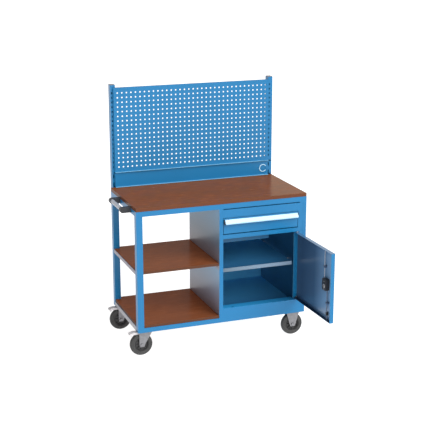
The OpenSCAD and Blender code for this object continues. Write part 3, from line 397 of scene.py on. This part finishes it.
boardLook = {
    "streakStretch": (14, 45, 30),
    "streakNoise": (1.0, 6.0, 0.6),  # scale, detail and roughness
    "streakRange": (0.28, 0.72),
    "cloudStretch": (6, 9, 6),
    "cloudNoise": (1.0, 3.0),
    "dark": (0.165, 0.044, 0.004, 1),
    "middle": (0.225, 0.062, 0.006, 1),
    "light": (0.29, 0.082, 0.010, 1),
    "cloud": (0.165, 0.058, 0.012, 1),
    "cloudShare": 0.8,
    "edge": (0.13, 0.05, 0.028, 1),
    "roughness": (0.14, 0.28),
    "relief": 0.00012,
    "refraction": 1.1,
    # painted shade fades, each: axis, then places along it and the tone there
    "shadeFades": [],
}
# Shelves: the same board with lighter colours as painted light for the shade they stand in, and
# painted shade towards the front
shelfPaintedLightLook = dict(
    boardLook,
    dark=(0.26, 0.074, 0.024, 1),
    middle=(0.32, 0.096, 0.031, 1),
    light=(0.39, 0.124, 0.044, 1),
    cloud=(0.275, 0.090, 0.038, 1),
    edge=(0.10, 0.044, 0.027, 1),
    refraction=1.055,
    shadeFades=[("Y", ((-0.29, 0.60), (-0.15, 0.63), (0.0, 0.77), (0.2, 1.0)))],
)
bluePaint = (0.004, 0.150, 0.345, 1)
# Side of the cabinet towards the bays: painted reflection, grey and browner just above each shelf
# where the boards are mirrored, and painted shade down each bay
baySideShadeAndReflection = {
    "faces": "X", "sign": -1, "along": "Z",
    "stops": [
        (-0.76, (0.19, 0.145, 0.16)), (-0.62, (0.22, 0.27, 0.37)), (-0.46, (0.15, 0.34, 0.55)),
        (-0.43, (0.24, 0.185, 0.20)), (-0.26, (0.09, 0.155, 0.23)), (-0.05, (0.04, 0.24, 0.45)),
    ],
}
# Left faces of the rails: painted reflection, grey in place of the blue
railSideReflection = {
    "faces": "X", "sign": -1, "along": "Z",
    "stops": [(-0.80, (0.32, 0.32, 0.35)), (-0.40, (0.20, 0.18, 0.23))],
}
# Front of the shelf trim: painted shade at its left end, painted light towards the right
trimFrontShade = {
    "faces": "Y", "sign": -1, "along": "X",
    "stops": [(0.0, (0.105, 0.155, 0.20)), (0.48, (0.22, 0.31, 0.42))],
}
# Door's inner face: painted reflection makes it greyer and painted shade darker towards the hinge,
# with painted light by its free edge; its lower fold is painted deep shade
doorInsideShade = {
    "faces": "X", "sign": -1, "along": "Y",
    "stops": [
        (-0.79, (0.12, 0.26, 0.45)), (-0.757, (0.11, 0.23, 0.41)), (-0.75, (0.20, 0.36, 0.58)),
        (-0.52, (0.048, 0.10, 0.19)), (-0.28, (0.028, 0.062, 0.128)),
    ],
}
# Lower fold of the door: painted deep shade
doorFoldShade = {
    "faces": "Z", "sign": 1, "along": "Y", "within": ("Z", -0.55, -0.6),
    "stops": [(-0.79, (0.003, 0.02, 0.06)), (-0.28, (0.003, 0.02, 0.06))],
}
# Top face of the door: painted light
doorTopLight = {
    "faces": "Z", "sign": 1, "along": "Y", "within": ("Z", -0.35, -0.3),
    "stops": [(-0.79, (0.07, 0.17, 0.31)), (-0.28, (0.06, 0.15, 0.28))],
}
# Top face of the plinth's lip: painted light
plinthLipLight = {
    "faces": "Z", "sign": 1, "along": "Y",
    "stops": [(-0.29, (0.03, 0.30, 0.60)), (-0.24, (0.02, 0.24, 0.50))],
}
# Top edge of the perforated panel: painted shade
panelTopShade = {
    "faces": "Z", "sign": 1, "along": "X", "within": ("Z", 0.645, 0.648),
    "stops": [(-0.55, (0.003, 0.045, 0.11)), (0.55, (0.003, 0.045, 0.11))],
}
# Top of the cabinet's inner shelf: painted shade at the front, painted light towards the back
shelfDepthShade = {
    "faces": "Z", "sign": 1, "along": "Y",
    "stops": [
        (-0.29, (0.010, 0.065, 0.15)), (-0.15, (0.03, 0.15, 0.30)), (0.28, (0.07, 0.42, 0.76)),
    ],
}
# Cabinet floor: painted shade at the front, painted light towards the back
floorDepthShade = {
    "faces": "Z", "sign": 1, "along": "Y",
    "stops": [
        (-0.29, (0.004, 0.03, 0.08)), (-0.15, (0.02, 0.11, 0.23)), (0.28, (0.08, 0.45, 0.80)),
    ],
}
# Inner right wall: painted shade, darkest at the front
rightWallShade = {
    "faces": "X", "sign": -1, "along": "Y",
    "stops": [
        (-0.28, (0.003, 0.03, 0.08)), (-0.12, (0.012, 0.07, 0.16)), (0.28, (0.035, 0.17, 0.34)),
    ],
}
# Back wall inside the cabinet: painted light, brightest at the left
backWallLight = {
    "faces": "Y", "sign": -1, "along": "X",
    "stops": [(0.0, (0.10, 0.56, 0.90)), (0.5, (0.07, 0.36, 0.66))],
}
finishes = {
    "blue_paint": paintedSteel("bluePowderCoat", bluePaint),
    # inner paint: the blue darkened as painted shade, with the walls' painted light and shade
    "inner_blue_paint": paintedSteel(
        "innerShadedPowderCoat", (0.02, 0.14, 0.30, 1), shades=[rightWallShade, backWallLight]
    ),
    "brown_board": laminatedBoard("brownFilmBoard", boardLook),
    "grey_paint": paintedSteel("greyPowderCoat", (0.42, 0.45, 0.50, 1)),
    "zinc": zincPlate("brightZinc"),
    "grey_tube": paintedSteel("silverPaint", (0.33, 0.35, 0.40, 1), roughness=0.26),
    "grey_plastic": mouldedPlastic("greyPlastic", (0.28, 0.32, 0.36, 1)),
    "black_plastic": mouldedPlastic("blackPlastic", (0.018, 0.019, 0.022, 1)),
    "aluminium_strip": brushedAluminium("anodisedStrip", gripLook),
    "wheel_plastic": mouldedPlastic("wheelPlastic", (0.022, 0.022, 0.023, 1)),
    "tyre_rubber": mouldedPlastic("tyreRubber", (0.028, 0.028, 0.028, 1), 0.62, 0.0002),
}
forkZinc = zincPlate("pressedZinc", (0.27, 0.27, 0.285, 1), 0.46)
rodZinc = zincPlate("drawnZinc", (0.40, 0.44, 0.50, 1), 0.4)
# Brake pedals: silvery plate given a pale grey diffuse finish, its brightness a painted reflection
pedalPaintedSheen = mouldedPlastic("pedalPaintedSheen", (0.50, 0.48, 0.49, 1), 0.4)
railPaint = paintedSteel("railPaint", bluePaint, shades=[railSideReflection])
shelfBoard = laminatedBoard("shelfFilmBoard", shelfPaintedLightLook)
# Solids and pieces whose finish differs from that of the rest of their slot
ownFinish = {
    "cabinet_side_left": paintedSteel("baySidePaint", bluePaint, shades=[baySideShadeAndReflection]),
    "cabinet_base": paintedSteel("plinthPaint", bluePaint, shades=[baySideShadeAndReflection, plinthLipLight]),
    "door_panel": paintedSteel(
        "doorPaint", bluePaint, 0.2, 0.000015, [doorInsideShade, doorFoldShade, doorTopLight]
    ),
    "inner_shelf": paintedSteel("innerShelfPaint", bluePaint, shades=[shelfDepthShade]),
    "cabinet_floor": paintedSteel("cabinetFloorPaint", bluePaint, shades=[floorDepthShade]),
    "shelf_trim": paintedSteel("trimPaint", (0.15, 0.22, 0.285, 1), shades=[trimFrontShade]),
    "base_rails": railPaint, "mid_shelf_rails": railPaint,
    "brake_front_left": pedalPaintedSheen, "brake_rear_left": pedalPaintedSheen,
    "axle_bolt_front_left": forkZinc, "axle_bolt_rear_left": forkZinc,
    "axle_bolts_right": forkZinc,
    "perforated_panel": paintedSteel("panelPaint", bluePaint, shades=[panelTopShade]),
    "rod_guides": mouldedPlastic("guidePlastic", (0.06, 0.10, 0.17, 1)),
    "mid_shelf_board": shelfBoard, "lower_shelf_board": shelfBoard,
    "swivel_fork_front_left": forkZinc, "swivel_fork_rear_left": forkZinc,
    "caster_forks_right": forkZinc, "caster_plates_left": forkZinc,
    "lock_rod_upper": rodZinc,
    # lower rod: a darker copy of the rod zinc, as painted shade
    "lock_rod_lower": zincPlate("shadedRodZinc", (0.17, 0.20, 0.27, 1), 0.45),
    "rod_keepers": finishes["blue_paint"],
    "upright_caps": mouldedPlastic("capPlastic", (0.13, 0.14, 0.16, 1)),
    # lips: the blue lightened as a painted highlight
    "panel_lips": paintedSteel("foldedEdgeHighlightPaint", (0.12, 0.36, 0.55, 1)),
    # strip: near-black blue as painted shade
    "hanging_strip": paintedSteel("hangingStripShadePaint", (0.003, 0.08, 0.18, 1)),
    # ring: pale as a painted highlight
    "cable_ring": mouldedPlastic("ringHighlightPlastic", (0.40, 0.60, 0.72, 1)),
}
slotOf = {part["node"]: part["material_slot"] for part in frame["record"]["subparts"]}
for nodeName, node in cadNodes.items():
    node.data.materials.clear()
    node.data.materials.append(ownFinish.get(nodeName, finishes[slotOf[nodeName]]))
print("materials ready")


# Pieces: shared helpers
def addPiece(name, mesh, body, slot, *nodes):
    piece = bpy.data.objects.new(name, mesh)
    bpy.context.scene.collection.objects.link(piece)
    mesh.materials.append(ownFinish.get(nodes[0] if nodes else name, finishes[slot]))
    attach(piece, body)
    if nodes:
        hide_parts(*nodes)


softening = {
    "weld": 0.00001,
    "flat": 1,  # degrees between triangles that become one face
    "sharp": 35,  # degrees from which an edge is rounded over
    "steps": 2,
    "evenness": 100,
}


def softenedMesh(name, source, width):
    # Copy of a solid with its coplanar triangles joined and its edges rounded over
    work = bmesh.new()
    work.from_mesh(source)
    bmesh.ops.remove_doubles(work, verts=work.verts, dist=softening["weld"])
    flatAngle = radians(softening["flat"])
    bmesh.ops.dissolve_limit(work, angle_limit=flatAngle, verts=work.verts, edges=work.edges)
    flat = bpy.data.meshes.new(name + "Flat")
    work.to_mesh(flat)
    work.free()
    for face in flat.polygons:
        face.use_smooth = True
    carrier = bpy.data.objects.new(name + "Flat", flat)
    bpy.context.scene.collection.objects.link(carrier)
    rounding = carrier.modifiers.new("rounding", "BEVEL")
    rounding.width = width
    rounding.segments = softening["steps"]
    rounding.limit_method = "ANGLE"
    rounding.angle_limit = radians(softening["sharp"])
    evening = carrier.modifiers.new("evening", "WEIGHTED_NORMAL")
    evening.weight = softening["evenness"]
    bpy.context.view_layer.update()
    ready = carrier.evaluated_get(bpy.context.evaluated_depsgraph_get())
    mesh = bpy.data.meshes.new_from_object(ready)
    mesh.name = name
    bpy.data.objects.remove(carrier)
    bpy.data.meshes.remove(flat)
    return mesh


def softenNode(nodeName, width):
    node = cadNodes[nodeName]
    name = "soft_" + nodeName
    mesh = softenedMesh(name, node.data, width)
    addPiece(name, mesh, node["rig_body"], slotOf[nodeName], nodeName)


# Edges rounded over: how far, in metres, for each solid
edgeRounding = {
    0.0007: [
        "top_frame", "left_legs", "base_rails", "mid_shelf_rails", "cabinet_base",
        "cabinet_side_left", "cabinet_side_right", "cabinet_back", "cabinet_front_rails",
        "cabinet_liner", "cabinet_floor", "inner_shelf", "blank_panel", "drawer_tray",
    ],
    0.001: ["drawer_front", "door_panel", "upright_caps", "handle_tube"],
    0.0004: [
        "shelf_trim", "uprights", "drawer_grip", "caster_plates_left", "caster_forks_right",
        "swivel_fork_front_left", "swivel_fork_rear_left", "brake_front_left", "brake_rear_left",
        "axle_bolts_right", "axle_bolt_front_left", "axle_bolt_rear_left", "frame_bolts",
        "caster_bolts",
    ],
    0.0015: ["worktop_board", "mid_shelf_board", "lower_shelf_board", "lock_case", "rod_guides"],
    0.003: ["handle_brackets", "lock_knob"],
}
for width, names in edgeRounding.items():
    for nodeName in names:
        softenNode(nodeName, width)
print("edges rounded")


# Turned and drawn meshes
def closedMesh(name, work, limit=32):
    bmesh.ops.recalc_face_normals(work, faces=work.faces)
    mesh = bpy.data.meshes.new(name)
    work.to_mesh(mesh)
    work.free()
    for face in mesh.polygons:
        face.use_smooth = True
    mesh.set_sharp_from_angle(angle=radians(limit))
    return mesh


def turnedShape(work, outline, centre, axis="Y", steps=72, arc=(0, 360)):
    # A closed outline of (radius, offset) turned about a line through centre
    start, end = radians(arc[0]), radians(arc[1])
    whole = abs(arc[1] - arc[0]) >= 360
    rings = []
    for step in range(steps if whole else steps + 1):
        turn = start + (end - start) * step / steps
        ring = []
        for radius, offset in outline:
            first, second = radius * cos(turn), radius * sin(turn)
            place = (first, offset, second) if axis == "Y" else (offset, first, second)
            ring.append(work.verts.new(Vector(place) + Vector(centre)))
        rings.append(ring)
    for here, there in zip(rings, rings[1:] + (rings[:1] if whole else [])):
        for index in range(len(outline)):
            after = (index + 1) % len(outline)
            work.faces.new((here[index], here[after], there[after], there[index]))
    if not whole:
        work.faces.new(rings[0])
        work.faces.new(list(reversed(rings[-1])))


def drawnShape(work, outline, low, high, axis="X"):
    # A closed outline drawn out along an axis from low to high
    def placed(point, along):
        place = list(point)
        place.insert("XYZ".index(axis), along)
        return place

    near = [work.verts.new(placed(point, low)) for point in outline]
    far = [work.verts.new(placed(point, high)) for point in outline]
    work.faces.new(near)
    work.faces.new(list(reversed(far)))
    for index in range(len(outline)):
        after = (index + 1) % len(outline)
        work.faces.new((near[index], near[after], far[after], far[index]))


def mirroredOutline(half):
    return half + [(radius, -offset) for radius, offset in reversed(half) if offset > 0]


# Wheels: a tread with a grooved side wall on a ribbed core
# Half outlines of (radius, offset from the middle), in metres
wheelShape = {
    "tyre": [
        (0.0455, 0.0152), (0.0461, 0.0168), (0.0474, 0.0177), (0.0498, 0.0180), (0.0560, 0.0180),
        (0.0567, 0.0173), (0.0575, 0.0173), (0.0583, 0.0179), (0.0632, 0.0177), (0.0667, 0.0166),
        (0.0694, 0.0143), (0.0712, 0.0107), (0.0721, 0.0060), (0.0725, 0.0),
    ],
    "core": [
        (0.0064, 0.0200), (0.0102, 0.0200), (0.0108, 0.0192), (0.0146, 0.0192), (0.0160, 0.0186),
        (0.0170, 0.0170), (0.0186, 0.0057), (0.0202, 0.0048), (0.0362, 0.0048), (0.0378, 0.0058),
        (0.0395, 0.0140), (0.0405, 0.0157), (0.0420, 0.0160), (0.0430, 0.0152), (0.0436, 0.0138),
        (0.0455, 0.0136),
    ],
    "ribs": 8,
    "ribStart": 0.0165,
    "ribEnd": 0.0392,
    "ribHalf": 0.0013,
    "ribDepth": 0.0115,
    "treadSteps": 96,
    "coreSteps": 72,
}


def buildWheel(place, shape):
    low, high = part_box("tyre_" + place)
    middle = (low + high) / 2
    body = cadNodes["tyre_" + place]["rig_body"]
    work = bmesh.new()
    turnedShape(work, mirroredOutline(shape["tyre"]), middle, steps=shape["treadSteps"])
    tread = closedMesh("tread_" + place, work)
    addPiece("tread_" + place, tread, body, slotOf["tyre_" + place], "tyre_" + place)
    work = bmesh.new()
    turnedShape(work, mirroredOutline(shape["core"]), middle, steps=shape["coreSteps"])
    start, end, half, depth = (shape[key] for key in ("ribStart", "ribEnd", "ribHalf", "ribDepth"))
    corners = [(start, -half), (end, -half), (end, half), (start, half)]
    for index in range(shape["ribs"]):
        ribWork = bmesh.new()
        drawnShape(ribWork, corners, -depth, depth, "Y")
        turn = Matrix.Translation(middle) @ Matrix.Rotation(2 * pi * index / shape["ribs"], 4, "Y")
        bmesh.ops.transform(ribWork, matrix=turn, verts=ribWork.verts)
        ribMesh = bpy.data.meshes.new("rib")
        ribWork.to_mesh(ribMesh)
        ribWork.free()
        work.from_mesh(ribMesh)
        bpy.data.meshes.remove(ribMesh)
    core = closedMesh("core_" + place, work)
    addPiece("core_" + place, core, body, slotOf["wheel_" + place], "wheel_" + place)


for place in ("front_left", "rear_left", "front_right", "rear_right"):
    buildWheel(place, wheelShape)
print("wheels built")

# Folded lips along the lower edges of the two rear panels, their paint lightened as a painted
# highlight
lipShape = {
    "reach": 0.011,
    "thick": 0.0013,
    "rise": 0.0002,
    "sunk": 0.0003,  # into the sheet behind it
    "bend": 0.0012,
    "root": 0.0001,
    "nose": 0.0005,
    "inset": 0.001,
}


def buildPanelLips(shape):
    work = bmesh.new()
    for nodeName in ("perforated_panel", "blank_panel"):
        low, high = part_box(nodeName)
        bottom = low.z + shape["rise"]
        top = bottom + shape["thick"]
        back, front = low.y + shape["sunk"], low.y - shape["reach"]
        bend, nose = shape["bend"], shape["nose"]
        outline = [
            (back, bottom), (front, bottom), (front - nose, bottom + nose), (front, top),
            (low.y - bend, top), (low.y + shape["root"], top + bend), (back, top + bend),
        ]
        drawnShape(work, outline, low.x + shape["inset"], high.x - shape["inset"])
    addPiece("panel_lips", closedMesh("panel_lips", work), "bench", "blue_paint")


buildPanelLips(lipShape)

# Pale ring round the cable hole's cap: a painted highlight, left open at the side where that
# highlight fades
ringShape = {
    "inner": 0.0215,
    "outer": 0.0262,
    "proud": 0.0012,
    "sunk": 0.0006,
    "innerRound": 0.0008,
    "outerRound": 0.0010,
    "edgeShares": (0.6, 0.4),  # how far the inner and outer edges stand proud
    "arc": (35, 325),  # degrees
}


def buildCableRing(shape):
    low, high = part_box("cable_hole_cap")
    middle = (low + high) / 2
    front = low.y
    inner, outer, proud, sunk = (shape[key] for key in ("inner", "outer", "proud", "sunk"))
    innerEdge, outerEdge = (front - proud * share for share in shape["edgeShares"])
    outline = [
        (inner, front + sunk), (inner, innerEdge), (inner + shape["innerRound"], front - proud),
        (outer - shape["outerRound"], front - proud), (outer, outerEdge), (outer, front + sunk),
    ]
    work = bmesh.new()
    turnedShape(work, outline, (middle.x, 0, middle.z), arc=shape["arc"])
    addPiece("cable_ring", closedMesh("cable_ring", work), "bench", "blue_paint")


buildCableRing(ringShape)

# Strip that hangs behind the cabinet's cross rail, its near-black blue a painted shade
stripShape = {
    "y": -0.2576,
    "thick": 0.0012,
    "top": -0.2485,
    "drop": 0.031,
    "left": -0.0015,
    "right": 0.317,
    "fold": 0.009,
}


def buildHangingStrip(shape):
    front, back = shape["y"], shape["y"] + shape["thick"]
    top, low = shape["top"], shape["top"] - shape["drop"]
    foldTop, foldEnd = low + shape["thick"], back + shape["fold"]
    outline = [
        (front, top), (front, low), (foldEnd, low),
        (foldEnd, foldTop), (back, foldTop), (back, top),
    ]
    work = bmesh.new()
    drawnShape(work, outline, shape["left"], shape["right"])
    addPiece("hanging_strip", closedMesh("hanging_strip", work), "bench", "blue_paint")


buildHangingStrip(stripShape)

# End caps of the drawer's grip, over the strip's own section
capShape = {
    "left": 0.006,
    "right": 0.0028,
    "over": 0.0004,
    "top": 0.013,
    "step": 0.006,
    "seat": 0.0002,
    "rounding": 0.0008,
}


def buildGripCaps(shape):
    low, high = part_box("drawer_grip_caps")
    over = shape["over"]
    face, out = high.y - shape["seat"], low.y - over
    outline = [
        (face, low.z - over), (face, high.z + over), (high.y - shape["top"] - over, high.z + over),
        (out, low.z + shape["step"]), (out, low.z - over),
    ]
    work = bmesh.new()
    drawnShape(work, outline, low.x, low.x + shape["left"])
    drawnShape(work, outline, high.x - shape["right"], high.x)
    rough = closedMesh("grip_caps", work)
    caps = softenedMesh("grip_end_caps", rough, shape["rounding"])
    addPiece("grip_end_caps", caps, "drawer", "black_plastic", "drawer_grip_caps")
    bpy.data.meshes.remove(rough)


buildGripCaps(capShape)

# Dial and screws on the lock's case, which faces left with the door open
dialShape = {
    "centre": (0.4969, -0.6998, -0.4815),
    # outlines of (radius, offset)
    "dial": [
        (0.0072, 0.0006), (0.0072, -0.0010), (0.0082, -0.0019),
        (0.0112, -0.0019), (0.0125, -0.0008), (0.0125, 0.0006),
    ],
    "screw": [
        (0.0001, 0.0006), (0.0001, -0.0012), (0.0022, -0.0012),
        (0.0031, -0.0004), (0.0031, 0.0006),
    ],
    "screwRise": (0.030, -0.0195),
    "dialSteps": 48,
    "screwSteps": 20,
}


def buildLockDial(shape):
    centre = Vector(shape["centre"])
    work = bmesh.new()
    turnedShape(work, shape["dial"], centre, "X", shape["dialSteps"])
    for rise in shape["screwRise"]:
        turnedShape(work, shape["screw"], centre + Vector((0, 0, rise)), "X", shape["screwSteps"])
    addPiece("lock_dial", closedMesh("lock_dial", work), "door", "zinc")


buildLockDial(dialShape)

# Guide around the lower rod near the door's foot
footGuideShape = {
    "outline": [
        (0.5213, -0.7255), (0.5058, -0.7255), (0.5058, -0.7145), (0.5213, -0.7145),
        (0.5213, -0.7165), (0.5074, -0.7165), (0.5074, -0.7235), (0.5213, -0.7235),
    ],
    "low": -0.668,
    "high": -0.646,
    "rounding": 0.0005,
}


def buildFootGuide(shape):
    work = bmesh.new()
    drawnShape(work, shape["outline"], shape["low"], shape["high"], "Z")
    rough = closedMesh("foot_guide", work)
    guide = softenedMesh("rod_foot_guide", rough, shape["rounding"])
    addPiece("rod_foot_guide", guide, "door", "black_plastic")
    bpy.data.meshes.remove(rough)


buildFootGuide(footGuideShape)
print("small pieces built")
